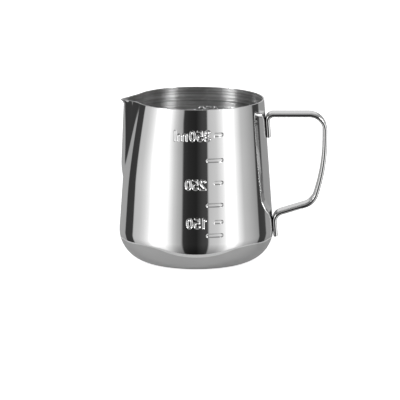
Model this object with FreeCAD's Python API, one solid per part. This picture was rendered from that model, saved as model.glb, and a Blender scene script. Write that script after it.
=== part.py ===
import FreeCAD, Part
import math
import os

# Milk frothing jug, in millimetres.
# Frame: the origin is the centre of the base on the jug's own axis, +Z up.
# The handle is towards +X and the pouring lip towards -X.

# ---------------------------------------------------------------- jug wall
HEIGHT = 87.0              # base to rim
RIM_RADIUS = 36.05         # outside, away from the lip
TAPER = 0.0718             # growth of the outside radius for each mm down from the rim
FOOT_ROUND = 16.4          # outside radius of the round between wall and base
WALL = 0.8                 # sheet thickness
RECESS_RADIUS = 18.0       # the middle of the base is pushed up, so the jug stands on a ring
RECESS_STEP = 0.7
RECESS_SLOPE = 1.2         # how much wider the recess is at its mouth
FLOOR_NARROWING = 0.4      # the raised floor inside is this much smaller, to keep the thickness

# ------------------------------------------------------------ pouring lip
LIP_START = 44.5           # height at which the lip's ridge leaves the cone
LIP_FULL = 53.5            # height at which the ridge stands fully clear of the cone
LIP_STAND_LOW = 1.42       # how far the ridge stands out from the cone at LIP_FULL
LIP_STAND_HIGH = 2.3       # and just below the drip edge
DRIP_HEIGHT = 3.0          # the last stretch below the rim curls outwards
DRIP_THROW = 1.9           # by this much
DRIP_SPREAD = 11.3         # degrees either side of the lip over which the curl fades
RIDGE_SPREAD_LOW = 8.92    # degrees either side of the lip over which the ridge falls away
RIDGE_SPREAD_RIM = 22.26
RIDGE_FALL_LOW = 0.7       # how hollow its flanks are
RIDGE_FALL_RIM = 1.18
RIDGE_SOFTNESS = 1.5       # degrees over which its crest is rounded
RIDGE_FOOT_LOW = 0.209     # share of its spread over which its flanks run out into the wall
RIDGE_FOOT_RIM = 0.342
PRESS_START = 33.8         # height at which the wall beside the lip begins to be pressed in
PRESS_AT_RIM = 4.75        # how far it is pressed in at the rim
PRESS_POWER = 1.483
PRESS_SPREAD_LOW = 20.0    # degrees either side of the lip over which it recovers
PRESS_SPREAD_RIM = 88.2
PRESS_SHAPE = 0.546

# ---------------------------------------------------------------- handle
STRIP_WIDTH = 10.0
STRIP_THICK = 2.3
STRIP_EDGE_ROUND = 1.05
FOOT_SINK = 0.17           # the feet are coined to the wall by this much at their middle
FOOT_CORNER = 3.0          # corner radius of the feet, seen from outside
FOOT_OVERRUN = 1.5         # the strip is swept this far past each foot, then trimmed
UPPER_FOOT_END = 65.9      # height of the upper foot's lower end
LOWER_FOOT_END = 12.2
TOP_RUN_HEIGHT = 78.5      # middle of the strip in the level top run
GRIP_X = 68.35             # middle of the strip at its furthest
GRIP_CORNER_Z = 51.2       # where the upright grip line meets the slanted one
GRIP_SLANT = 16.1          # degrees from upright, below that corner
LOWER_RUN_SLOPE = 0.303    # rise of the lower run for each mm outwards
LOWER_RUN_X = 52.1         # a point that the lower run passes through
LOWER_RUN_Z = 27.81
BEND_UPPER_FOOT = 3.0      # bend radii, on the middle of the strip
BEND_TOP = 8.5
BEND_GRIP = 94.0
BEND_LOWER = 9.0
BEND_LOWER_FOOT = 5.0

# ------------------------------------------------------------ spot welds
NUGGET_RADIUS = 1.5
NUGGET_OFFSET = 1.8        # each side of the handle's middle plane
NUGGET_IN_WALL = 0.4
NUGGET_IN_FOOT = 0.8
UPPER_NUGGET_Z = 70.8
LOWER_NUGGET_Z = 19.6

CONE_ANGLE = math.atan(TAPER)
CONE_FOOT_RADIUS = RIM_RADIUS + TAPER * HEIGHT
FLAT_RADIUS = CONE_FOOT_RADIUS - FOOT_ROUND * (1.0 + math.sin(CONE_ANGLE)) / math.cos(CONE_ANGLE)
ROUND_TOP = FOOT_ROUND * (1.0 + math.sin(CONE_ANGLE))
DRIP_START = HEIGHT - DRIP_HEIGHT


def cone_radius(z):
    return CONE_FOOT_RADIUS - TAPER * z


def between(low, high, share):
    return low + (high - low) * share


def lip_stand(z):
    """How far the lip's ridge stands out from the cone at height z."""
    if z <= LIP_START:
        return 0.0
    rise = math.sin(0.5 * math.pi * min(1.0, (z - LIP_START) / (LIP_FULL - LIP_START)))
    along = min(1.0, (z - LIP_FULL) / (DRIP_START - LIP_FULL))
    return rise * between(LIP_STAND_LOW, LIP_STAND_HIGH, along)


def drip_curl(turn, z):
    """How far the drip edge curls out beyond the ridge."""
    curl = max(0.0, (z - DRIP_START) / DRIP_HEIGHT)
    return DRIP_THROW * curl ** 2 * math.cos(0.5 * math.pi * min(1.0, turn / DRIP_SPREAD)) ** 2


def pressed_in(z):
    """How far the wall beside the lip is pressed in at height z, and the same as a share."""
    if z <= PRESS_START:
        return 0.0, 0.0
    share = (z - PRESS_START) / (HEIGHT - PRESS_START)
    return PRESS_AT_RIM * share ** PRESS_POWER, share


def outside_radius(turn, z):
    """Outside radius at height z, at an angle in degrees from the lip, 0 to 180.

    The wall is a cone. Beside the lip it is pressed in, and the lip's ridge stands out of the
    pressed part with hollow flanks.
    """
    pressed, share = pressed_in(z)
    if pressed == 0.0:
        return cone_radius(z)
    recovery = min(1.0, turn / between(PRESS_SPREAD_LOW, PRESS_SPREAD_RIM, share))
    dent = math.cos(0.5 * math.pi * recovery ** PRESS_SHAPE) ** 2
    off_crest = math.hypot(turn, RIDGE_SOFTNESS) - RIDGE_SOFTNESS
    ridge_left = 1.0 - off_crest / between(RIDGE_SPREAD_LOW, RIDGE_SPREAD_RIM, share)
    foot = between(RIDGE_FOOT_LOW, RIDGE_FOOT_RIM, share)
    if ridge_left < foot:
        ridge_left = max(0.0, foot + ridge_left) ** 2 / (4.0 * foot)
    ridge = ridge_left ** between(RIDGE_FALL_LOW, RIDGE_FALL_RIM, share)
    return cone_radius(z) - pressed * dent + (pressed + lip_stand(z)) * ridge + drip_curl(turn, z)


def radius_at(turn, z, inset):
    """Radius of the skin that lies inset from the outside, measured square to the sheet."""
    nudge = 0.05
    outside = outside_radius(turn, z)
    change = outside_radius(turn + nudge, z) - outside_radius(abs(turn - nudge), z)
    slope = change / math.radians(2.0 * nudge) / outside
    if turn < nudge:
        slope = 0.0
    return outside - inset * math.hypot(1.0, slope)


def bearings():
    """Angles round the jug from its +Y side, past the lip at zero, and back to +Y."""
    half = [0.0, 1.0, 2.0, 3.0, 4.2, 5.6, 7.2, 9.0, 11.0, 13.0, 15.5, 18.0, 21.0, 24.0, 27.0, 31.0]
    half += [float(angle) for angle in range(36, 90, 6)]
    rest = [float(angle) for angle in range(90, 271, 6)]
    return [-angle for angle in [90.0] + half[:0:-1]] + half + rest


def wall_levels():
    """Heights of the outlines, close together where the lip starts and at its drip edge."""
    levels = [between(ROUND_TOP, PRESS_START, step / 5.0) for step in range(5)]
    levels += [between(PRESS_START, LIP_START, step / 6.0) for step in range(6)]
    levels += [between(LIP_START, LIP_FULL, step / 8.0) for step in range(8)]
    levels += [between(LIP_FULL, DRIP_START, step / 10.0) for step in range(10)]
    levels += [between(DRIP_START, HEIGHT, step / 5.0) for step in range(6)]
    return levels


def point_at(bearing, radius, z):
    turn = math.radians(bearing)
    return FreeCAD.Vector(-radius * math.cos(turn), -radius * math.sin(turn), z)


def skin_rings(inset):
    """Rings of points on the skin that lies inset from the outside, with each ring's station."""
    rings = []
    stations = []
    round_steps = 10
    for step in range(round_steps):
        swing = (0.5 * math.pi + CONE_ANGLE) * step / round_steps
        radius = FLAT_RADIUS + (FOOT_ROUND - inset) * math.sin(swing)
        z = FOOT_ROUND - (FOOT_ROUND - inset) * math.cos(swing)
        rings.append([point_at(bearing, radius, z) for bearing in bearings()])
        stations.append(FOOT_ROUND * swing)
    round_length = FOOT_ROUND * (0.5 * math.pi + CONE_ANGLE)
    for z in wall_levels():
        ring = []
        for bearing in bearings():
            turn = min(abs(bearing), 360.0 - abs(bearing))
            ring.append(point_at(bearing, radius_at(turn, z, inset), z))
        rings.append(ring)
        stations.append(round_length + (z - ROUND_TOP))
    return rings, stations


def smooth_curve(points, stations):
    curve = Part.BSplineCurve()
    curve.interpolate(Points=points, Parameters=stations)
    return curve


def skin_face(inset):
    """One smooth face through all the rings: splined along each ring, then up the wall."""
    rings, stations = skin_rings(inset)
    along = [smooth_curve(ring, bearings()) for ring in rings]
    columns = zip(*[curve.getPoles() for curve in along])
    upward = [smooth_curve(list(column), stations) for column in columns]
    surface = Part.BSplineSurface()
    surface.buildFromPolesMultsKnots(
        [curve.getPoles() for curve in upward],
        along[0].getMultiplicities(),
        upward[0].getMultiplicities(),
        along[0].getKnots(),
        upward[0].getKnots(),
        False,
        False,
        along[0].Degree,
        upward[0].Degree,
    )
    return surface.toShape()


def skin_solid(inset):
    """Everything inside the skin, closed by flat discs at the bottom and at the rim."""
    wall = skin_face(inset)
    level_edges = [edge for edge in wall.Edges if edge.BoundBox.ZLength < 0.01]
    discs = [Part.Face(Part.Wire(edge)) for edge in level_edges]
    shell = Part.makeShell([wall] + discs)
    shell.sewShape()
    return Part.makeSolid(shell)


def jug_body():
    """The whole drawn sheet: wall, foot round, recessed base and pouring lip."""
    body = skin_solid(0.0).cut(skin_solid(WALL))
    recess = Part.makeCone(RECESS_RADIUS + RECESS_SLOPE, RECESS_RADIUS, RECESS_STEP)
    raised_floor = Part.makeCone(
        RECESS_RADIUS + RECESS_SLOPE - FLOOR_NARROWING,
        RECESS_RADIUS - FLOOR_NARROWING,
        RECESS_STEP,
        FreeCAD.Vector(0, 0, WALL),
    )
    return body.fuse(raised_floor).cut(recess)


def wall_line(z):
    """Where the middle of the strip runs while a foot lies on the wall."""
    return cone_radius(z) + 0.5 * STRIP_THICK - FOOT_SINK


def strip_corners():
    """Corners of the strip's middle line in the XZ plane, upper foot first, with bend radii."""
    slant = math.radians(GRIP_SLANT)
    along = FreeCAD.Vector(-math.sin(slant), 0, -math.cos(slant))
    grip_corner = FreeCAD.Vector(GRIP_X, 0, GRIP_CORNER_Z)
    run_height = LOWER_RUN_Z + LOWER_RUN_SLOPE * (grip_corner.x - LOWER_RUN_X)
    reach = (grip_corner.z - run_height) / (LOWER_RUN_SLOPE * along.x - along.z)
    lower_corner = grip_corner + along * reach
    run_start = LOWER_RUN_Z - LOWER_RUN_SLOPE * LOWER_RUN_X
    foot_x = (wall_line(0.0) - TAPER * run_start) / (1.0 + TAPER * LOWER_RUN_SLOPE)
    upper_end = UPPER_FOOT_END - FOOT_OVERRUN
    lower_end = LOWER_FOOT_END - FOOT_OVERRUN
    return [
        (FreeCAD.Vector(wall_line(upper_end), 0, upper_end), 0.0),
        (FreeCAD.Vector(wall_line(TOP_RUN_HEIGHT), 0, TOP_RUN_HEIGHT), BEND_UPPER_FOOT),
        (FreeCAD.Vector(GRIP_X, 0, TOP_RUN_HEIGHT), BEND_TOP),
        (grip_corner, BEND_GRIP),
        (lower_corner, BEND_LOWER),
        (FreeCAD.Vector(foot_x, 0, run_start + LOWER_RUN_SLOPE * foot_x), BEND_LOWER_FOOT),
        (FreeCAD.Vector(wall_line(lower_end), 0, lower_end), 0.0),
    ]


def rounded_path(corners):
    """Straight runs between the corners, joined by arcs that touch both runs."""
    edges = []
    pen = corners[0][0]
    for index in range(1, len(corners) - 1):
        corner, radius = corners[index]
        back = (corners[index - 1][0] - corner).normalize()
        ahead = (corners[index + 1][0] - corner).normalize()
        half_angle = 0.5 * back.getAngle(ahead)
        reach = radius / math.tan(half_angle)
        bisector = (back + ahead).normalize()
        start = corner + back * reach
        end = corner + ahead * reach
        middle = corner + bisector * (radius / math.sin(half_angle) - radius)
        edges.append(Part.LineSegment(pen, start).toShape())
        edges.append(Part.Arc(start, middle, end).toShape())
        pen = end
    edges.append(Part.LineSegment(pen, corners[-1][0]).toShape())
    return Part.Wire(edges)


def strip_profile(centre, thickness_way):
    """The strip's cross-section: a flat bar with well rounded edges."""
    side = FreeCAD.Vector(0, 1, 0)
    flat = 0.5 * STRIP_WIDTH - STRIP_EDGE_ROUND
    level = 0.5 * STRIP_THICK - STRIP_EDGE_ROUND
    quarter = [math.radians(angle) for angle in (0.0, 45.0, 90.0)]
    edges = []
    pen = None
    for corner in range(4):
        across = 1.0 if corner in (0, 3) else -1.0
        upward = 1.0 if corner in (0, 1) else -1.0
        points = []
        for angle in quarter:
            swing = angle + 0.5 * math.pi * corner
            points.append(
                centre
                + side * (across * flat + STRIP_EDGE_ROUND * math.cos(swing))
                + thickness_way * (upward * level + STRIP_EDGE_ROUND * math.sin(swing))
            )
        if pen is not None:
            edges.append(Part.LineSegment(pen, points[0]).toShape())
        edges.append(Part.Arc(*points).toShape())
        pen = points[2]
    edges.append(Part.LineSegment(pen, edges[0].valueAt(edges[0].FirstParameter)).toShape())
    return Part.Wire(edges)


def foot_trimmer(x, end):
    """What is cut away below a foot's free end, leaving its two lower corners rounded."""
    depth = 2.0 * FOOT_OVERRUN
    height = FOOT_CORNER + 2.0 * FOOT_OVERRUN
    width = STRIP_WIDTH + 2.0 * FOOT_OVERRUN
    block = Part.makeBox(
        6.0 * depth, width, height,
        FreeCAD.Vector(x - 3.0 * depth, -0.5 * width, end - 2.0 * FOOT_OVERRUN),
    )
    tongue = Part.makeBox(
        6.0 * depth, STRIP_WIDTH, 2.0 * height,
        FreeCAD.Vector(x - 3.0 * depth, -0.5 * STRIP_WIDTH, end),
    )
    lower_edges = [
        edge for edge in tongue.Edges
        if edge.BoundBox.XLength > depth and edge.BoundBox.ZMax < end + 0.1
    ]
    return block.cut(tongue.makeFillet(FOOT_CORNER, lower_edges))


def handle_strip():
    corners = strip_corners()
    start = corners[0][0]
    up_the_wall = (corners[1][0] - start).normalize()
    outward = FreeCAD.Vector(0, 1, 0).cross(up_the_wall)
    strip = rounded_path(corners).makePipeShell([strip_profile(start, outward)], True, False)
    strip = strip.cut(foot_trimmer(wall_line(UPPER_FOOT_END), UPPER_FOOT_END))
    strip = strip.cut(foot_trimmer(wall_line(LOWER_FOOT_END), LOWER_FOOT_END))
    return strip.cut(skin_solid(0.0))


def foot_nuggets(z):
    """The pair of spot-weld nuggets of one foot, half in the wall and half in the foot."""
    outward = FreeCAD.Vector(math.cos(CONE_ANGLE), 0, math.sin(CONE_ANGLE))
    nuggets = []
    for side in (-1.0, 1.0):
        y = side * NUGGET_OFFSET
        on_wall = FreeCAD.Vector(math.sqrt(cone_radius(z) ** 2 - y ** 2), y, z)
        base = on_wall - outward * NUGGET_IN_WALL
        nuggets.append(
            Part.makeCylinder(NUGGET_RADIUS, NUGGET_IN_WALL + NUGGET_IN_FOOT, base, outward)
        )
    return Part.makeCompound(nuggets)


def main():
    upper = foot_nuggets(UPPER_NUGGET_Z)
    lower = foot_nuggets(LOWER_NUGGET_Z)
    parts = {
        "jug_body": jug_body().cut(upper).cut(lower),
        "handle": handle_strip().cut(upper).cut(lower),
        "upper_foot_welds": upper,
        "lower_foot_welds": lower,
    }
    os.makedirs("parts", exist_ok=True)
    for name, shape in parts.items():
        shape.exportStep(os.path.join("parts", name + ".step"))
        print(name, "solids", len(shape.Solids), "valid", shape.isValid(), "mm3", round(shape.Volume, 1))


main()
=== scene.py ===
"""A polished steel milk frothing jug: fine meshes, steel finishes, studio and camera.

The geometry is worked out in millimetres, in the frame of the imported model, and turned into
metres when a mesh is made. The handle is towards +X, the pouring lip towards -X, and the
camera looks along +Y.
"""

import math

import bmesh
import bpy
import numpy as np
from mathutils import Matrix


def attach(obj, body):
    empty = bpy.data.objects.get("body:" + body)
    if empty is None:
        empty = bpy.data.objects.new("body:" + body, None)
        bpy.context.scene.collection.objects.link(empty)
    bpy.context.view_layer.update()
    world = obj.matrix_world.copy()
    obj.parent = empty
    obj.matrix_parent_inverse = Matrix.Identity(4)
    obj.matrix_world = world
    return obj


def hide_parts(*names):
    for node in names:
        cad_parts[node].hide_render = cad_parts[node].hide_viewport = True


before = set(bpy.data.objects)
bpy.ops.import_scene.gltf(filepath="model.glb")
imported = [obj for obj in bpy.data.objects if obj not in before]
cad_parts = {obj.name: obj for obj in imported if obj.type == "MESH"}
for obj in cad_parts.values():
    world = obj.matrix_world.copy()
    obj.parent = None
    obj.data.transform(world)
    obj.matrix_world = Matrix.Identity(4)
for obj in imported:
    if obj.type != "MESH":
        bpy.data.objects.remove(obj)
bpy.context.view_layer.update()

MM = 0.001

# ---------------------------------------------------------------- jug wall, as in the CAD model
HEIGHT = 87.0
RIM_RADIUS = 36.05
TAPER = 0.0718
FOOT_ROUND = 16.4
WALL = 0.8
RECESS_RADIUS = 18.0
RECESS_STEP = 0.7
RECESS_SLOPE = 1.2
FLOOR_NARROWING = 0.4
LIP_START = 44.5
LIP_FULL = 53.5
LIP_STAND_LOW = 1.42
LIP_STAND_HIGH = 2.3
DRIP_HEIGHT = 3.0
DRIP_THROW = 1.9
DRIP_SPREAD = 11.3
RIDGE_SPREAD_LOW = 8.92
RIDGE_SPREAD_RIM = 22.26
RIDGE_FALL_LOW = 0.7
RIDGE_FALL_RIM = 1.18
RIDGE_SOFTNESS = 1.5
RIDGE_FOOT_LOW = 0.209
RIDGE_FOOT_RIM = 0.342
PRESS_START = 33.8
PRESS_AT_RIM = 4.75
PRESS_POWER = 1.483
PRESS_SPREAD_LOW = 20.0
PRESS_SPREAD_RIM = 88.2
PRESS_SHAPE = 0.546
CONE_ANGLE = math.atan(TAPER)
CONE_FOOT_RADIUS = RIM_RADIUS + TAPER * HEIGHT
FLAT_RADIUS = CONE_FOOT_RADIUS - FOOT_ROUND * (1.0 + math.sin(CONE_ANGLE)) / math.cos(CONE_ANGLE)
ROUND_TOP = FOOT_ROUND * (1.0 + math.sin(CONE_ANGLE))
DRIP_START = HEIGHT - DRIP_HEIGHT
RIM_ROUND = 0.2            # height of the rim's rounded edge
RIM_SQUARENESS = 0.7       # 1 would be a half round, less is flatter on top
TIP_DROP = 0.5             # the drip edge is bent down this far below the rest of the rim
TIP_DROP_SPREAD = 9.0      # degrees

# ---------------------------------------------------------------- pressed scale
PRESS_DEPTH = 0.4          # the marks are pressed inwards this far
STROKE_REACH = 0.68        # from the middle of a digit's stroke to the edge of its groove
STROKE_SLOPE = 0.55        # width of the groove's sloping side
TICK_REACH = 1.12          # from the middle line of a tick to its edge
TICK_SLOPE = 0.55          # width of the tick's sloping side
DIGIT_WIDTH = 2.4          # of the stroke's middle line
DIGIT_HEIGHT = 4.8
NEAR_SCALE = 90.0          # bearing of the scale on the camera's side
FAR_SCALE = 256.5          # and of the one across from it
TICK_LEFT = -14.2          # read from inside the jug, ticks are left of the numbers
TICK_RIGHT_LONG = -5.1
TICK_RIGHT_SHORT = -8.75
LONG_TICKS = (21.0, 36.9, 60.4)            # heights
SHORT_TICKS = (28.0, 48.6, 73.7)
# Each number by the height of its middle, its glyphs with their left edges.
NUMBERS = {
    73.3: (("3", -6.9), ("5", -3.1), ("0", 0.85), ("m", 5.2), ("l", 11.1)),
    47.8: (("2", -4.7), ("5", -0.6), ("0", 3.0)),
    27.5: (("1", -4.9), ("5", -1.6), ("0", 2.4)),
}
SCALE_EDGE = 0.8           # cosine of the angle round the jug where a scale's marks are over
MARK_MARGIN = 2.0          # distances from a stroke are worked out this far round it

# ---------------------------------------------------------------- fineness of the jug's mesh
LIP_TURN_STEP = 1.0        # degrees round the jug
SCALE_TURN_STEP = 1.5
SIDE_TURN_STEP = 2.0
BACK_TURN_STEP = 2.5
WALL_STEP = 1.2            # millimetres up the wall
LIP_STEP = 0.9
DRIP_STEP = 0.3
RIM_PLACES = 17            # from the outer skin over the rim to the inner one
MARK_CUTS = 4              # faces at the marks are cut up this many times each way
MARK_SURROUND = 0.75       # and so are those this near to a mark
SAME_PLACE = 0.00002

# ---------------------------------------------------------------- handle, as in the CAD model
STRIP_WIDTH = 10.0
STRIP_THICK = 2.3
STRIP_EDGE_ROUND = 1.05
FOOT_SINK = 0.17
FOOT_CORNER = 3.0
UPPER_FOOT_END = 65.9
LOWER_FOOT_END = 12.2
TOP_RUN_HEIGHT = 78.5
GRIP_X = 68.35
GRIP_CORNER_Z = 51.2
GRIP_SLANT = 16.1
LOWER_RUN_SLOPE = 0.303
LOWER_RUN_X = 52.1
LOWER_RUN_Z = 27.81
BEND_UPPER_FOOT = 3.0
BEND_TOP = 8.5
BEND_GRIP = 94.0
BEND_LOWER = 9.0
BEND_LOWER_FOOT = 5.0
RUN_STEP = 4.0             # between places on a straight run of the strip
BEND_STEP = 3.0            # and in a bend, in degrees
END_PLACES = (0.05, 0.2, 0.45, 0.9, 1.5, 2.2, 3.0)     # extra places this far from a run's ends


def between(low, high, share):
    return low + (high - low) * share


def smooth(share):
    """From 0 to 1 with level ends."""
    held = np.clip(share, 0.0, 1.0)
    return held * held * (3.0 - 2.0 * held)


# ================================================================ jug wall
def cone_radius(z):
    return CONE_FOOT_RADIUS - TAPER * z


def lip_stand(z):
    """How far the lip's ridge stands out from the cone at height z."""
    rise = np.sin(0.5 * np.pi * np.clip((z - LIP_START) / (LIP_FULL - LIP_START), 0.0, 1.0))
    along = np.minimum(1.0, (z - LIP_FULL) / (DRIP_START - LIP_FULL))
    return rise * between(LIP_STAND_LOW, LIP_STAND_HIGH, along)


def drip_curl(turn, z):
    """How far the drip edge curls out beyond the ridge."""
    curl = np.maximum(0.0, (z - DRIP_START) / DRIP_HEIGHT)
    return DRIP_THROW * curl ** 2 * np.cos(0.5 * np.pi * np.minimum(1.0, turn / DRIP_SPREAD)) ** 2


def outside_radius(turn, z):
    """Outside radius at height z, at an angle in degrees from the lip, 0 to 180."""
    share = np.maximum(0.0, (z - PRESS_START) / (HEIGHT - PRESS_START))
    pressed = PRESS_AT_RIM * share ** PRESS_POWER
    recovery = np.minimum(1.0, turn / between(PRESS_SPREAD_LOW, PRESS_SPREAD_RIM, share))
    dent = np.cos(0.5 * np.pi * recovery ** PRESS_SHAPE) ** 2
    off_crest = np.hypot(turn, RIDGE_SOFTNESS) - RIDGE_SOFTNESS
    spread = between(RIDGE_SPREAD_LOW, RIDGE_SPREAD_RIM, share)
    ridge_left = 1.0 - off_crest / spread
    foot = between(RIDGE_FOOT_LOW, RIDGE_FOOT_RIM, share)
    run_out = np.maximum(0.0, foot + ridge_left) ** 2 / (4.0 * foot)
    ridge_left = np.where(ridge_left < foot, run_out, np.maximum(0.0, ridge_left))
    ridge = ridge_left ** between(RIDGE_FALL_LOW, RIDGE_FALL_RIM, share)
    return cone_radius(z) - pressed * dent + (pressed + lip_stand(z)) * ridge + drip_curl(turn, z)


def radius_at(turn, z, inset):
    """Radius of the skin that lies inset from the outside, measured square to the sheet."""
    nudge = 0.05
    outside = outside_radius(turn, z)
    change = outside_radius(turn + nudge, z) - outside_radius(np.abs(turn - nudge), z)
    slope = np.where(turn < nudge, 0.0, change / math.radians(2.0 * nudge) / outside)
    return outside - inset * np.hypot(1.0, slope)


def rim_height(turn):
    return HEIGHT - TIP_DROP * np.exp(-((turn / TIP_DROP_SPREAD) ** 2))


# ================================================================ scale marks
def arc(middle_x, middle_z, reach_x, reach_z, start, end):
    """Points on an arc of an ellipse, its angles in degrees, anticlockwise from the right."""
    steps = max(2, round(abs(end - start) / 15.0))
    angles = np.radians(np.linspace(start, end, steps + 1))
    return [(middle_x + reach_x * math.cos(a), middle_z + reach_z * math.sin(a)) for a in angles]


def glyph_strokes(glyph):
    """Middle lines of a glyph's strokes, its lower left corner at the origin."""
    wide = DIGIT_WIDTH
    tall = DIGIT_HEIGHT
    half = 0.5 * wide
    if glyph == "0":
        return [arc(half, 0.5 * tall, half, 0.5 * tall, 0, 360)]
    if glyph == "1":
        return [[(0.0, 0.78 * tall), (half, tall), (half, 0.0)]]
    if glyph == "2":
        return [arc(half, 0.72 * tall, half, 0.28 * tall, 165, -35) + [(0.0, 0.0), (wide, 0.0)]]
    if glyph == "3":
        upper = arc(0.9 * half, 0.76 * tall, half, 0.24 * tall, 150, -90)
        lower = arc(0.9 * half, 0.26 * tall, 1.1 * half, 0.26 * tall, 90, -150)
        return [upper, lower]
    if glyph == "5":
        bowl = arc(0.9 * half, 0.31 * tall, 1.1 * half, 0.31 * tall, 135, -150)
        return [[(0.92 * wide, tall), (0.12 * wide, tall)] + bowl]
    if glyph == "m":
        low = 0.42 * tall
        arch = 0.9 * half
        first = arc(arch, low, arch, 0.24 * tall, 180, 0)
        second = arc(3.0 * arch, low, arch, 0.24 * tall, 180, 0)
        stems = [[(0.0, 0.66 * tall), (0.0, 0.0)], [(2.0 * arch, low), (2.0 * arch, 0.0)]]
        return stems + [first, second + [(4.0 * arch, 0.0)]]
    return [[(0.0, 0.0), (0.0, tall)]]


def number_strokes():
    """Strokes of every number, as read from inside the jug, in millimetres."""
    strokes = []
    for middle, glyphs in NUMBERS.items():
        for glyph, left in glyphs:
            for stroke in glyph_strokes(glyph):
                placed = [(left + x, middle - 0.5 * DIGIT_HEIGHT + z) for x, z in stroke]
                strokes.append(np.array(placed))
    return strokes


def tick_lines():
    """Middle lines of the ticks, between the centres of their round ends."""
    lines = []
    for heights, right in ((LONG_TICKS, TICK_RIGHT_LONG), (SHORT_TICKS, TICK_RIGHT_SHORT)):
        for z in heights:
            lines.append(np.array([(TICK_LEFT + TICK_REACH, z), (right - TICK_REACH, z)]))
    return lines


def off_stroke(x, z, stroke):
    """Distance of each point from a stroke's middle line."""
    nearest = np.full(x.shape, np.inf)
    for start, end in zip(stroke[:-1], stroke[1:]):
        run = end - start
        share = ((x - start[0]) * run[0] + (z - start[1]) * run[1]) / (run @ run)
        share = np.clip(share, 0.0, 1.0)
        away = np.hypot(x - start[0] - share * run[0], z - start[1] - share * run[1])
        nearest = np.minimum(nearest, away)
    return nearest


STROKES = number_strokes()
TICKS = tick_lines()


def off_marks(bearing, z, marks):
    """Distance of each point of the wall from the nearest of these marks, on either scale."""
    nearest = np.full(bearing.shape, np.inf)
    for scale in (NEAR_SCALE, FAR_SCALE):
        read_x = -cone_radius(z) * np.sin(np.radians(bearing - scale))
        facing = np.cos(np.radians(bearing - scale)) > SCALE_EDGE
        for mark in marks:
            low = mark.min(axis=0) - MARK_MARGIN
            high = mark.max(axis=0) + MARK_MARGIN
            near = facing & (read_x > low[0]) & (read_x < high[0]) & (z > low[1]) & (z < high[1])
            if near.any():
                nearest[near] = np.minimum(nearest[near], off_stroke(read_x[near], z[near], mark))
    return nearest


def mark_depth(bearing, z):
    """How far the scale marks press the sheet inwards."""
    stroke = smooth((STROKE_REACH - off_marks(bearing, z, STROKES)) / STROKE_SLOPE)
    tick = smooth((TICK_REACH - off_marks(bearing, z, TICKS)) / TICK_SLOPE)
    return PRESS_DEPTH * np.maximum(stroke, tick)


# ================================================================ jug mesh
FLOOR_END = 1.0            # stations along a skin: the floor ends, the round ends, the wall ends
ROUND_END = 2.0
WALL_END = 3.0
INNER_START = 4.0          # between 3 and 4 the rim is rounded over to the inner skin
STATION_END = INNER_START + WALL_END


def skin_point(bearing, along, inset):
    """A point of one skin: along runs over the floor, up the foot round and up the wall."""
    turn = np.minimum(bearing, 360.0 - bearing)
    flat = np.clip(along, 0.0, FLOOR_END) * FLAT_RADIUS
    recess = RECESS_RADIUS - (FLOOR_NARROWING if inset > 0.0 else 0.0)
    step = RECESS_STEP * smooth(1.0 - (flat - recess) / RECESS_SLOPE)
    swing = np.clip(along - FLOOR_END, 0.0, 1.0) * (0.5 * math.pi + CONE_ANGLE)
    round_radius = flat + (FOOT_ROUND - inset) * np.sin(swing)
    round_height = step + FOOT_ROUND - (FOOT_ROUND - inset) * np.cos(swing)
    share = np.clip(along - ROUND_END, 0.0, 1.0)
    z = between(ROUND_TOP, rim_height(turn) - RIM_ROUND, share)
    shortened = HEIGHT - rim_height(turn) + RIM_ROUND
    drip_share = np.clip((z - DRIP_START) / (DRIP_HEIGHT - shortened), 0.0, 1.0)
    wall_radius = radius_at(turn, z + shortened * drip_share, inset) - mark_depth(bearing, z)
    on_wall = along > ROUND_END
    return np.where(on_wall, wall_radius, round_radius), np.where(on_wall, z, round_height)


def squared(circle):
    """Pushes a round section out towards a square one with rounded corners."""
    return np.sign(circle) * np.abs(circle) ** RIM_SQUARENESS


def jug_point(bearing, station):
    """The whole sheet as one strip from the middle of the base, over the rim, to the floor."""
    bearing = np.mod(bearing, 360.0)
    outer_r, outer_z = skin_point(bearing, np.clip(station, 0.0, WALL_END), 0.0)
    inner_r, inner_z = skin_point(bearing, np.clip(STATION_END - station, 0.0, WALL_END), WALL)
    over = np.clip(station - WALL_END, 0.0, 1.0)
    swing = math.pi * over
    middle = 0.5 * (outer_r + inner_r)
    half = 0.5 * (outer_r - inner_r)
    rim_r = middle + half * squared(np.cos(swing))
    rim_z = outer_z + RIM_ROUND * squared(np.sin(swing))
    on_rim = (station > WALL_END) & (station < INNER_START)
    radius = np.where(on_rim, rim_r, np.where(station <= WALL_END, outer_r, inner_r))
    z = np.where(on_rim, rim_z, np.where(station <= WALL_END, outer_z, inner_z))
    angle = np.radians(bearing)
    return np.stack([-radius * np.cos(angle), -radius * np.sin(angle), z], axis=-1)


def spaced(start, end, step):
    """Even steps from start up to, and without, end."""
    count = max(1, round(abs(end - start) / abs(step)))
    return list(np.linspace(start, end, count, endpoint=False))


def jug_bearings():
    """Degrees round the jug from the middle of the lip, closer at the lip and at the scales."""
    bearings = spaced(0, 32, LIP_TURN_STEP) + spaced(32, 66, SIDE_TURN_STEP)
    bearings += spaced(66, 114, SCALE_TURN_STEP) + spaced(114, 234, BACK_TURN_STEP)
    bearings += spaced(234, 280.5, SCALE_TURN_STEP) + spaced(280.5, 328, SIDE_TURN_STEP)
    return bearings + spaced(328, 360, LIP_TURN_STEP)


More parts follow.
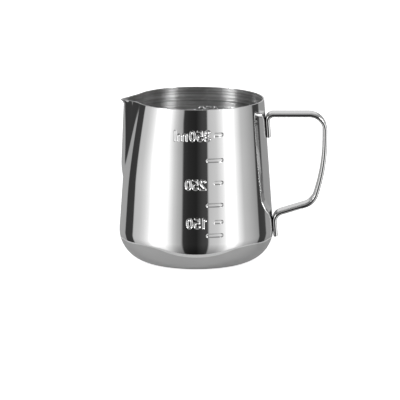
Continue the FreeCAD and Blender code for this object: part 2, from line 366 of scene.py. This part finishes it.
def skin_stations():
    """Stations along one skin from the middle of the floor to the rim."""
    recess = RECESS_RADIUS / FLAT_RADIUS
    mouth = (RECESS_RADIUS + RECESS_SLOPE) / FLAT_RADIUS
    wall_length = HEIGHT - RIM_ROUND - ROUND_TOP
    drip = ROUND_END + (DRIP_START - ROUND_TOP) / wall_length
    lip = ROUND_END + (LIP_START - ROUND_TOP) / wall_length
    lip_full = ROUND_END + (LIP_FULL - ROUND_TOP) / wall_length
    stations = spaced(0.0, recess - 0.03, 0.2) + spaced(recess - 0.03, mouth + 0.02, 0.007)
    stations += spaced(mouth + 0.02, FLOOR_END, 0.08) + spaced(FLOOR_END, ROUND_END, 0.06)
    stations += spaced(ROUND_END, lip, WALL_STEP / wall_length)
    stations += spaced(lip, lip_full, LIP_STEP / wall_length)
    stations += spaced(lip_full, drip, WALL_STEP / wall_length)
    return stations + spaced(drip, WALL_END, DRIP_STEP / wall_length)


def jug_stations():
    """Stations from the middle of the base, over the rim, to the middle of the floor inside."""
    outer = skin_stations()
    rim = list(np.linspace(WALL_END, INNER_START, RIM_PLACES))
    return outer + rim + [STATION_END - station for station in reversed(outer)]


def near_marks(bearing, station):
    """Whether the wall at this place lies close to a mark."""
    along = np.where(station <= WALL_END, station, STATION_END - station)
    z = between(ROUND_TOP, HEIGHT - RIM_ROUND, along - ROUND_END)
    close = np.minimum(
        off_marks(bearing, z, STROKES) - STROKE_REACH,
        off_marks(bearing, z, TICKS) - TICK_REACH,
    )
    return (along > ROUND_END) & (along < WALL_END) & (close < MARK_SURROUND)


def flat_jug_mesh():
    """The strip laid flat, x its bearing and y its station, with small faces at the marks."""
    bearings = jug_bearings() + [360.0]
    stations = jug_stations()
    flat = bmesh.new()
    rows = [[flat.verts.new((b, s, 0.0)) for b in bearings] for s in stations]
    for lower, upper in zip(rows[:-1], rows[1:]):
        for side in range(len(bearings) - 1):
            flat.faces.new((lower[side], lower[side + 1], upper[side + 1], upper[side]))
    middles = np.array([face.calc_center_median() for face in flat.faces])
    marked = near_marks(middles[:, 0], middles[:, 1])
    edges = {edge for face, near in zip(flat.faces, marked) if near for edge in face.edges}
    bmesh.ops.subdivide_edges(flat, edges=list(edges), cuts=MARK_CUTS, use_grid_fill=True)
    return flat


def surface_normals(places, across, along):
    """Unit normals of the jug's surface by small differences."""
    step_across = 0.02
    step_along = 0.0002
    axis_reach = 0.001
    shortest = 1e-12
    to_side = jug_point(across + step_across, along) - jug_point(across - step_across, along)
    ahead = np.clip(along + step_along, 0.0, STATION_END)
    behind = np.clip(along - step_along, 0.0, STATION_END)
    onward = jug_point(across, ahead) - jug_point(across, behind)
    normals = np.cross(to_side, onward)
    length = np.linalg.norm(normals, axis=-1, keepdims=True)
    at_axis = np.hypot(places[:, 0], places[:, 1]) < axis_reach
    normals = normals / np.maximum(length, shortest)
    normals[at_axis] = (0.0, 0.0, 1.0)
    normals[at_axis & (along < FLOOR_END)] = (0.0, 0.0, -1.0)
    return normals


def jug_piece(outside, inside):
    """The jug as one sheet: polished outside and over the rim, brushed inside."""
    flat = flat_jug_mesh()
    places = np.array([vert.co for vert in flat.verts])
    across = places[:, 0]
    along = places[:, 1]
    points = jug_point(across, along)
    normals = surface_normals(points, across, along)
    layer = flat.verts.layers.float_vector.new("true_normal")
    for vert, point, normal in zip(flat.verts, points, normals):
        vert[layer] = normal
        vert.co = point * MM
    for face, middle in zip(flat.faces, face_stations(flat, along)):
        face.smooth = True
        face.material_index = 1 if middle > INNER_START else 0
    bmesh.ops.remove_doubles(flat, verts=flat.verts, dist=SAME_PLACE * MM)
    mesh = bpy.data.meshes.new("jug_body_skin")
    flat.to_mesh(mesh)
    flat.free()
    held = np.zeros(len(mesh.vertices) * 3, np.float32)
    mesh.attributes["true_normal"].data.foreach_get("vector", held)
    mesh.normals_split_custom_set_from_vertices(held.reshape(-1, 3))
    mesh.attributes.remove(mesh.attributes["true_normal"])
    mesh.materials.append(outside)
    mesh.materials.append(inside)
    jug = bpy.data.objects.new("jug_shell", mesh)
    bpy.context.scene.collection.objects.link(jug)
    return jug


def face_stations(flat, along):
    """The station of each face's middle."""
    flat.verts.index_update()
    return [np.mean([along[vert.index] for vert in face.verts]) for face in flat.faces]


# ================================================================ handle mesh
def wall_line(z):
    """Where the middle of the strip runs while a foot lies on the wall."""
    return cone_radius(z) + 0.5 * STRIP_THICK - FOOT_SINK


def strip_corners():
    """Corners of the strip's middle line in the XZ plane, upper foot first, with bend radii."""
    slant = math.radians(GRIP_SLANT)
    along = np.array([-math.sin(slant), -math.cos(slant)])
    grip_corner = np.array([GRIP_X, GRIP_CORNER_Z])
    run_height = LOWER_RUN_Z + LOWER_RUN_SLOPE * (GRIP_X - LOWER_RUN_X)
    reach = (GRIP_CORNER_Z - run_height) / (LOWER_RUN_SLOPE * along[0] - along[1])
    run_start = LOWER_RUN_Z - LOWER_RUN_SLOPE * LOWER_RUN_X
    foot_x = (wall_line(0.0) - TAPER * run_start) / (1.0 + TAPER * LOWER_RUN_SLOPE)
    return [
        (np.array([wall_line(UPPER_FOOT_END), UPPER_FOOT_END]), 0.0),
        (np.array([wall_line(TOP_RUN_HEIGHT), TOP_RUN_HEIGHT]), BEND_UPPER_FOOT),
        (np.array([GRIP_X, TOP_RUN_HEIGHT]), BEND_TOP),
        (grip_corner, BEND_GRIP),
        (grip_corner + along * reach, BEND_LOWER),
        (np.array([foot_x, run_start + LOWER_RUN_SLOPE * foot_x]), BEND_LOWER_FOOT),
        (np.array([wall_line(LOWER_FOOT_END), LOWER_FOOT_END]), 0.0),
    ]


def strip_line():
    """Places along the strip's middle line and the way that it heads at each."""
    places = []
    headings = []
    corners = strip_corners()
    pen = corners[0][0]
    for (before, _), (corner, radius), (after, _) in zip(corners, corners[1:], corners[2:]):
        back = (before - corner) / np.linalg.norm(before - corner)
        ahead = (after - corner) / np.linalg.norm(after - corner)
        half_angle = 0.5 * math.acos(back @ ahead)
        start = corner + back * radius / math.tan(half_angle)
        add_run(places, headings, pen, start, -back)
        turn = math.pi - 2.0 * half_angle
        side = np.sign(-back[0] * ahead[1] + back[1] * ahead[0])
        inward = side * np.array([back[1], -back[0]])
        steps = max(6, round(math.degrees(turn) / BEND_STEP))
        for step in range(1, steps + 1):
            swing = turn * step / steps
            places.append(start + radius * (inward * (1.0 - math.cos(swing)) - back * math.sin(swing)))
            headings.append(-back * math.cos(swing) + inward * math.sin(swing))
        pen = places[-1]
    add_run(places, headings, pen, corners[-1][0], headings[-1])
    return np.array(places), np.array(headings)


def add_run(places, headings, start, end, heading):
    """A straight run, with places close together towards the strip's free ends."""
    length = np.linalg.norm(end - start)
    shares = list(np.linspace(0.0, 1.0, max(2, round(length / RUN_STEP)) + 1))
    shares += [reach / length for reach in END_PLACES]
    shares += [1.0 - reach / length for reach in END_PLACES]
    for share in sorted(set(shares)):
        if places and share == 0.0:
            continue
        places.append(start + (end - start) * share)
        headings.append(heading)


def strip_section(half_width, half_thick):
    """The bar's outline, rounded at its edges, and the outline's outward normals."""
    edge = min(STRIP_EDGE_ROUND, half_thick)
    outline = []
    normals = []
    for quarter in range(4):
        side = 1.0 if quarter in (0, 3) else -1.0
        level = 1.0 if quarter in (0, 1) else -1.0
        for step in range(7):
            swing = math.radians(90.0 * quarter + 15.0 * step)
            normal = (math.cos(swing), math.sin(swing))
            outline.append((
                side * (half_width - edge) + edge * normal[0],
                level * (half_thick - edge) + edge * normal[1],
            ))
            normals.append(normal)
    return outline, normals


def handle_piece(finish):
    """The bent strip, its feet rounded at their corners and lying on the wall."""
    places, headings = strip_line()
    run = np.concatenate([[0.0], np.cumsum(np.linalg.norm(np.diff(places, axis=0), axis=1))])
    from_end = np.minimum(run, run[-1] - run)
    rings = []
    ring_normals = []
    for place, heading, reach in zip(places, headings, from_end):
        in_corner = max(0.0, FOOT_CORNER - reach)
        in_edge = max(0.0, STRIP_EDGE_ROUND - reach)
        half_width = 0.5 * STRIP_WIDTH - FOOT_CORNER + math.sqrt(FOOT_CORNER ** 2 - in_corner ** 2)
        half_thick = 0.5 * STRIP_THICK - STRIP_EDGE_ROUND
        half_thick += math.sqrt(STRIP_EDGE_ROUND ** 2 - in_edge ** 2)
        outline, normals = strip_section(half_width, half_thick)
        out = np.array([-heading[1], heading[0]])
        rings.append([(place[0] + out[0] * t, w, place[1] + out[1] * t) for w, t in outline])
        ring_normals.append([(out[0] * t, w, out[1] * t) for w, t in normals])
    points = np.array(rings)
    radius = np.hypot(points[..., 0], points[..., 1])
    short = np.maximum(1.0, cone_radius(points[..., 2]) / radius)
    points[..., 0] *= short
    points[..., 1] *= short
    return swept_piece("handle_strip", points, np.array(ring_normals), finish)


def swept_piece(name, rings, normals, finish):
    """A closed tube through rings of points, its two ends closed by flat faces."""
    count = rings.shape[1]
    vertices = (rings.reshape(-1, 3) * MM).tolist()
    faces = [list(range(count))[::-1]]
    for ring in range(len(rings) - 1):
        for side in range(count):
            after = (side + 1) % count
            first = ring * count
            second = first + count
            faces.append([first + side, first + after, second + after, second + side])
    faces.append(list(range((len(rings) - 1) * count, len(rings) * count)))
    mesh = bpy.data.meshes.new(name)
    mesh.from_pydata(vertices, [], faces)
    mesh.polygons.foreach_set("use_smooth", [True] * len(faces))
    mesh.normals_split_custom_set_from_vertices(normals.reshape(-1, 3))
    mesh.materials.append(finish)
    piece = bpy.data.objects.new(name, mesh)
    bpy.context.scene.collection.objects.link(piece)
    return piece


# ================================================================ shader nodes
def math_node(nodes, links, operation, first, second=None):
    node = nodes.new("ShaderNodeMath")
    node.operation = operation
    for socket, value in zip(node.inputs, (first, second)):
        if isinstance(value, (int, float)):
            socket.default_value = value
        elif value is not None:
            links.new(value, socket)
    return node.outputs[0]


def beyond(nodes, links, value, edge, softness):
    """From 0 to 1 as the value passes the edge; a negative softness is for passing downwards."""
    span = nodes.new("ShaderNodeMapRange")
    span.inputs["From Min"].default_value = edge
    span.inputs["From Max"].default_value = edge + softness
    links.new(value, span.inputs["Value"])
    return span.outputs["Result"]


def mixed(nodes, links, share, light, other):
    """Goes from one light to the other, which may be a plain grey, as the share rises."""
    mix = nodes.new("ShaderNodeMix")
    mix.data_type = "RGBA"
    links.new(share, mix.inputs["Factor"])
    links.new(light, mix.inputs[6])
    if isinstance(other, float):
        mix.inputs[7].default_value = (other, other, other, 1.0)
    else:
        links.new(other, mix.inputs[7])
    return mix.outputs[2]


# ================================================================ finishes
POLISHED_GREY = (0.78, 0.82)
HAZE_GRAIN = (60.0, 60.0, 240.0)           # noise per metre along X, Y and Z
TONE_GRAIN = (25.0, 25.0, 40.0)
WAVE_GRAIN = (90.0, 90.0, 30.0)
WAVE_HEIGHT = 0.02         # millimetres
RING_GREY = (0.4, 0.9)
RING_ROUGHNESS = (0.27, 0.33)
RING_GRAIN = (6.0, 6.0, 1300.0)
RING_HEIGHT = 0.3
NOISE_MIDDLE = (0.3, 0.7)  # nearly all of a noise lies between these
FEET_REACH = 44.0          # the feet lie within this distance of the jug's axis
GAP_SHADE_FROM = -0.45          # the painted shade begins where the normal leans this far to the wall
GAP_SHADE_BLEND = 0.2
# base colour of the painted shade in the gap between the feet and the wall
GAP_SHADE_TONE = 0.03


def new_material(name):
    material = bpy.data.materials.new(name)
    material.use_nodes = True
    nodes = material.node_tree.nodes
    return material, nodes, material.node_tree.links, nodes["Principled BSDF"]


def stretched_noise(nodes, links, stretch, detail):
    """Noise in the object's own space, drawn out along the axes whose stretch is small."""
    place = nodes.new("ShaderNodeTexCoord")
    mapping = nodes.new("ShaderNodeMapping")
    mapping.inputs["Scale"].default_value = stretch
    noise = nodes.new("ShaderNodeTexNoise")
    noise.inputs["Scale"].default_value = 1.0
    noise.inputs["Detail"].default_value = detail
    links.new(place.outputs["Object"], mapping.inputs["Vector"])
    links.new(mapping.outputs["Vector"], noise.inputs["Vector"])
    return noise.outputs["Fac"]


def ranged(nodes, links, value, low, high):
    """The middle range of a noise spread from low to high."""
    span = nodes.new("ShaderNodeMapRange")
    span.inputs["From Min"].default_value = NOISE_MIDDLE[0]
    span.inputs["From Max"].default_value = NOISE_MIDDLE[1]
    span.inputs["To Min"].default_value = low
    span.inputs["To Max"].default_value = high
    links.new(value, span.inputs["Value"])
    return span.outputs["Result"]


def grey_range(nodes, links, value, low, high):
    """Greys from low to high over the middle range of a noise."""
    ramp = nodes.new("ShaderNodeValToRGB")
    for element, position, grey in zip(ramp.color_ramp.elements, NOISE_MIDDLE, (low, high)):
        element.position = position
        element.color = (grey, grey, grey, 1.0)
    links.new(value, ramp.inputs["Fac"])
    return ramp.outputs["Color"]


def bumped(nodes, links, shader, value, strength, distance):
    bump = nodes.new("ShaderNodeBump")
    bump.inputs["Strength"].default_value = strength
    bump.inputs["Distance"].default_value = distance
    links.new(value, bump.inputs["Height"])
    links.new(bump.outputs["Normal"], shader.inputs["Normal"])


def polished_steel(name, haziness, waviness):
    """Polished steel with buffing haze, at least as rough as its haziness, and faint waves."""
    material, nodes, links, shader = new_material(name)
    shader.inputs["Metallic"].default_value = 1.0
    haze = stretched_noise(nodes, links, HAZE_GRAIN, 4.0)
    links.new(ranged(nodes, links, haze, haziness, 1.8 * haziness), shader.inputs["Roughness"])
    tone = stretched_noise(nodes, links, TONE_GRAIN, 2.0)
    links.new(grey_range(nodes, links, tone, *POLISHED_GREY), shader.inputs["Base Color"])
    wave = stretched_noise(nodes, links, WAVE_GRAIN, 1.0)
    bumped(nodes, links, shader, wave, waviness, WAVE_HEIGHT * MM)
    return material


def brushed_steel(name):
    """Steel turned and brushed round the jug's axis: fine rings and a drawn-out gloss."""
    material, nodes, links, shader = new_material(name)
    shader.inputs["Metallic"].default_value = 1.0
    shader.inputs["Anisotropic"].default_value = 1.0
    shader.inputs["Anisotropic Rotation"].default_value = 0.25
    rings = stretched_noise(nodes, links, RING_GRAIN, 2.0)
    links.new(ranged(nodes, links, rings, *RING_ROUGHNESS), shader.inputs["Roughness"])
    links.new(grey_range(nodes, links, rings, *RING_GREY), shader.inputs["Base Color"])
    tangent = nodes.new("ShaderNodeTangent")
    tangent.direction_type = "RADIAL"
    tangent.axis = "Z"
    links.new(tangent.outputs["Tangent"], shader.inputs["Tangent"])
    bumped(nodes, links, shader, rings, 1.0, RING_HEIGHT * MM)
    return material


def paint_gap_shade_on_feet(material):
    """Paints shade into the base colour on the side of the feet that lies on the wall, standing in for
    the shadowed gap between strip and wall.
    """
    nodes = material.node_tree.nodes
    links = material.node_tree.links
    shader = nodes["Principled BSDF"]
    bright = shader.inputs["Base Color"].links[0].from_socket
    place = nodes.new("ShaderNodeTexCoord")
    position = nodes.new("ShaderNodeSeparateXYZ")
    links.new(place.outputs["Object"], position.inputs["Vector"])
    facing = nodes.new("ShaderNodeSeparateXYZ")
    links.new(place.outputs["Normal"], facing.inputs["Vector"])
    at_feet = beyond(nodes, links, position.outputs["X"], FEET_REACH * MM, -1.0 * MM)
    wallward = beyond(nodes, links, facing.outputs["X"], GAP_SHADE_FROM, -GAP_SHADE_BLEND)
    share = math_node(nodes, links, "MULTIPLY", at_feet, wallward)
    # painted shade: the base colour goes nearly black where the feet face the wall
    links.new(mixed(nodes, links, share, bright, GAP_SHADE_TONE), shader.inputs["Base Color"])


# ================================================================ studio
# Brightness of what stands round the jug by bearing in degrees, 0 on the camera's side and
# +90 towards the handle: dark flags, white panels and the grey room behind.
ROOM = (
    (-180, 0.40), (-160, 0.40), (-134, 0.42), (-132, 0.045), (-111, 0.050), (-109, 0.60),
    (-95, 0.68), (-86, 0.85), (-78, 1.09), (-70, 1.60), (-50, 1.60), (-41, 1.09),
    (-35, 0.76), (-29, 0.56), (-22, 0.42), (-20.5, 0.045), (-12, 0.028), (0, 0.020),
    (10, 0.060), (17, 0.070), (19, 0.62), (32, 0.72), (43, 1.09), (50, 1.60),
    (60, 1.60), (67, 1.09), (78, 0.64), (107, 0.36), (109, 0.050), (127, 0.060),
    (130, 0.36), (180, 0.34),
)
# The same above the walls' top, where two bright narrow panels and the dim room are.
OVERHEAD = (
    (-180, 0.30), (-110, 0.12), (-76, 0.10), (-72, 9.50), (-56, 9.50), (-52, 0.26), (38, 0.26),
    (42, 8.50), (54, 8.50), (58, 0.12), (90, 0.12), (105, 0.50), (180, 0.50),
)
UPPER_DARK = 0.30          # brightness above the panels
CEILING = 0.95             # of the ceiling, which lies only behind the jug
BACK_WALL = 0.72
GROUND = 0.05
WALL_TOP = 0.25            # sine of the elevation where the walls end
PANEL_TOP = 0.55           # and where the panels above them end
CEILING_EDGE = 0.88        # sine of the elevation where the ceiling begins
BACK_WALL_EDGE = 0.6       # cosine of the angle from straight behind
BACK_WALL_FOOT = 0.05      # sine of the elevation where it begins
GROUND_EDGE = -0.77        # sine of the elevation where the ground round the jug begins
FADE_START = -0.22         # sine of the elevation below which the walls grow darker
FADE_SPAN = 0.5            # until this much lower
FADE_LEFT = 0.45           # where this share of the light is left
SOFT_EDGE = 0.1            # edges between lights are blurred over this much
FIRM_EDGE = 0.05
SHARP_EDGE = 0.03
GROUND_SHARPNESS = 0.01

# The mat that the jug stands on, in millimetres.
MAT_HALF_WIDTH = 64.0
MAT_HALF_DEPTH = 48.5
MAT_CORNER = 34.0
MAT_LIFT = 0.1
MAT_BORDER = 5.0           # width of the border round the mat, painted brighter as light round a middle painted darker as shade near the jug

FLOOR_HALF = 6.0           # metres

CAMERA_LENS = 292.8
CAMERA_PLACE = (0.0, -1.7, 0.3853)
CAMERA_TILT = 11.747       # degrees downwards
CAMERA_TURN = -0.066       # degrees, negative towards the right


def light_ramp(nodes, links, bearing, stops):
    """Grey light by bearing, from stops at angles in degrees."""
    ramp = nodes.new("ShaderNodeValToRGB")
    elements = ramp.color_ramp.elements
    for index, (angle, light) in enumerate(stops):
        position = angle / 360.0 + 0.5
        spot = elements[index] if index < 2 else elements.new(position)
        spot.position = position
        spot.color = (light, light, light, 1.0)
    links.new(bearing, ramp.inputs["Fac"])
    return ramp.outputs["Color"]


def shaded(nodes, links, light, share_left):
    """The same light, dimmed to a share of itself."""
    dim = nodes.new("ShaderNodeVectorMath")
    dim.operation = "SCALE"
    dim.inputs["Scale"].default_value = share_left
    links.new(light, dim.inputs[0])
    return dim.outputs["Vector"]


def studio_world():
    """The room as light from every side, with a plain white backdrop for the camera."""
    world = bpy.data.worlds.new("studio")
    world.use_nodes = True
    nodes = world.node_tree.nodes
    links = world.node_tree.links
    nodes.clear()
    place = nodes.new("ShaderNodeTexCoord")
    parts = nodes.new("ShaderNodeSeparateXYZ")
    links.new(place.outputs["Generated"], parts.inputs["Vector"])
    backward = parts.outputs["Y"]
    upward = parts.outputs["Z"]
    towards = math_node(nodes, links, "MULTIPLY", backward, -1.0)
    angle = math_node(nodes, links, "ARCTAN2", parts.outputs["X"], towards)
    bearing = math_node(nodes, links, "MULTIPLY_ADD", angle, 0.5 / math.pi)
    bearing.node.inputs[2].default_value = 0.5
    behind = beyond(nodes, links, backward, BACK_WALL_EDGE, SOFT_EDGE)
    above = beyond(nodes, links, upward, BACK_WALL_FOOT, FIRM_EDGE)
    on_back_wall = math_node(nodes, links, "MULTIPLY", behind, above)
    room = light_ramp(nodes, links, bearing, ROOM)
    room = mixed(nodes, links, on_back_wall, room, BACK_WALL)
    overhead = light_ramp(nodes, links, bearing, OVERHEAD)
    over_walls = beyond(nodes, links, upward, WALL_TOP, FIRM_EDGE)
    room = mixed(nodes, links, over_walls, room, overhead)
    over_panels = beyond(nodes, links, upward, PANEL_TOP, FIRM_EDGE)
    room = mixed(nodes, links, over_panels, room, UPPER_DARK)
    high = beyond(nodes, links, upward, CEILING_EDGE, SHARP_EDGE)
    rearward = beyond(nodes, links, backward, 0.0, SOFT_EDGE)
    on_ceiling = math_node(nodes, links, "MULTIPLY", high, rearward)
    room = mixed(nodes, links, on_ceiling, room, CEILING)
    fade = beyond(nodes, links, upward, FADE_START, -FADE_SPAN)
    room = mixed(nodes, links, fade, room, shaded(nodes, links, room, FADE_LEFT))
    under = beyond(nodes, links, upward, GROUND_EDGE, -GROUND_SHARPNESS)
    room = mixed(nodes, links, under, room, GROUND)
    lamp = nodes.new("ShaderNodeBackground")
    links.new(room, lamp.inputs["Color"])
    backdrop = nodes.new("ShaderNodeBackground")
    backdrop.inputs["Color"].default_value = (1.0, 1.0, 1.0, 1.0)
    rays = nodes.new("ShaderNodeLightPath")
    shown = nodes.new("ShaderNodeMixShader")
    links.new(rays.outputs["Is Camera Ray"], shown.inputs["Fac"])
    links.new(lamp.outputs["Background"], shown.inputs[1])
    links.new(backdrop.outputs["Background"], shown.inputs[2])
    output = nodes.new("ShaderNodeOutputWorld")
    links.new(shown.outputs["Shader"], output.inputs["Surface"])
    bpy.context.scene.world = world


def studio_floor():
    """A plain pale floor that takes only a faint shadow."""
    ways = ((-1.0, -1.0), (1.0, -1.0), (1.0, 1.0), (-1.0, 1.0))
    mesh = bpy.data.meshes.new("floor")
    mesh.from_pydata([(FLOOR_HALF * x, FLOOR_HALF * y, 0.0) for x, y in ways], [], [(0, 1, 2, 3)])
    floor = bpy.data.objects.new("floor", mesh)
    bpy.context.scene.collection.objects.link(floor)
    material, nodes, links, shader = new_material("pale_floor")
    shader.inputs["Roughness"].default_value = 0.9
    shader.inputs["Base Color"].default_value = (0.9, 0.9, 0.9, 1.0)
    shader.inputs["Emission Color"].default_value = (1.0, 1.0, 1.0, 1.0)
    shader.inputs["Emission Strength"].default_value = 0.8
    mesh.materials.append(material)
    floor.visible_glossy = False


def reflected_mat(name, margin, lift, painted_grey, painted_glow):
    """One layer of the mat that the jug stands on, seen only in the steel; its grey and glow are
    painted light and shade.
    """
    half_width = MAT_HALF_WIDTH - margin
    half_depth = MAT_HALF_DEPTH - margin
    corner = MAT_CORNER - margin
    rim = bmesh.new()
    for quarter in range(4):
        side = 1.0 if quarter in (0, 3) else -1.0
        ahead = 1.0 if quarter in (0, 1) else -1.0
        for step in range(9):
            swing = math.radians(90.0 * quarter + 11.25 * step)
            x = side * (half_width - corner) + corner * math.cos(swing)
            y = ahead * (half_depth - corner) + corner * math.sin(swing)
            rim.verts.new((x * MM, y * MM, lift * MM))
    rim.faces.new(rim.verts)
    mesh = bpy.data.meshes.new(name)
    rim.to_mesh(mesh)
    rim.free()
    mat = bpy.data.objects.new(name, mesh)
    bpy.context.scene.collection.objects.link(mat)
    material, nodes, links, shader = new_material(name + "_paper")
    # painted light and shade: the border layer is paler and the middle darker, standing in for light
    # at the mat's edge and shade near the jug; the glow is painted light
    shader.inputs["Base Color"].default_value = (painted_grey, painted_grey, painted_grey, 1.0)
    shader.inputs["Roughness"].default_value = 1.0
    shader.inputs["Specular IOR Level"].default_value = 0.0
    shader.inputs["Emission Color"].default_value = (1.0, 1.0, 1.0, 1.0)
    shader.inputs["Emission Strength"].default_value = painted_glow
    mesh.materials.append(material)
    mat.visible_camera = False
    mat.visible_diffuse = False
    mat.visible_shadow = False


def place_camera():
    """A long lens from a little above, level across, on the jug's open side."""
    camera = bpy.data.cameras.new("camera")
    camera.lens = CAMERA_LENS
    camera.sensor_width = 36.0
    camera.clip_start = 0.05
    camera.clip_end = 30.0
    holder = bpy.data.objects.new("camera", camera)
    bpy.context.scene.collection.objects.link(holder)
    holder.location = CAMERA_PLACE
    holder.rotation_euler = (math.radians(90.0 - CAMERA_TILT), 0.0, math.radians(CAMERA_TURN))
    bpy.context.scene.camera = holder
    bpy.context.scene.view_settings.view_transform = "Standard"


# ================================================================ assembly
place_camera()
studio_world()
studio_floor()
# the paler border is painted light, the darker middle painted shade near the jug
reflected_mat("mat_border", margin=0.0, lift=MAT_LIFT, painted_grey=0.85, painted_glow=0.1)
reflected_mat("mat_middle", margin=MAT_BORDER, lift=2.0 * MAT_LIFT, painted_grey=0.55, painted_glow=0.08)

jug_outside = polished_steel("jug_polished", haziness=0.035, waviness=0.1)
jug_inside = brushed_steel("jug_brushed")
handle_finish = polished_steel("handle_polished", haziness=0.06, waviness=0.2)
# painted shade on the side of the feet that faces the wall
paint_gap_shade_on_feet(handle_finish)
weld_finish = polished_steel("weld_steel", haziness=0.3, waviness=0.4)

jug = jug_piece(jug_outside, jug_inside)
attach(jug, "root")
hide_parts("jug_body")

handle = handle_piece(handle_finish)
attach(handle, "root")
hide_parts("handle")

for weld in ("upper_foot_welds", "lower_foot_welds"):
    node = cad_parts[weld]
    node.data.materials.clear()
    node.data.materials.append(weld_finish)
